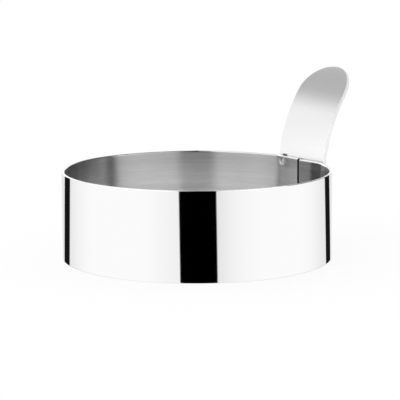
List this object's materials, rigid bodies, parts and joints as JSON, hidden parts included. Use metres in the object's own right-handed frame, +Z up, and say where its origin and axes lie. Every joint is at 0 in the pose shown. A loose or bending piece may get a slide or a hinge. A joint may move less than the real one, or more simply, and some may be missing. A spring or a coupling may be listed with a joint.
{
  "type": "egg ring",
  "caption": "Open round cooking ring rolled from stainless strip, with a curved upright handle spot-welded outside its wall, for shaping eggs in a pan.",
  "frame": {"origin": "on the band's axis, in the plane of its lower edge", "axes": "+Z up along the band's axis, +Y from the axis towards the handle"},
  "size_m": [0.0768, 0.089, 0.0516],
  "materials": {
    "polished_steel": "polished",
    "satin_steel": "satin",
    "fused_steel": "satin"
  },
  "bodies": {
    "root": {"ring_band": "polished_steel", "handle": "satin_steel", "weld_upper_left": "fused_steel", "weld_upper_right": "fused_steel", "weld_lower_left": "fused_steel", "weld_lower_right": "fused_steel"}
  },
  "joints": []
}
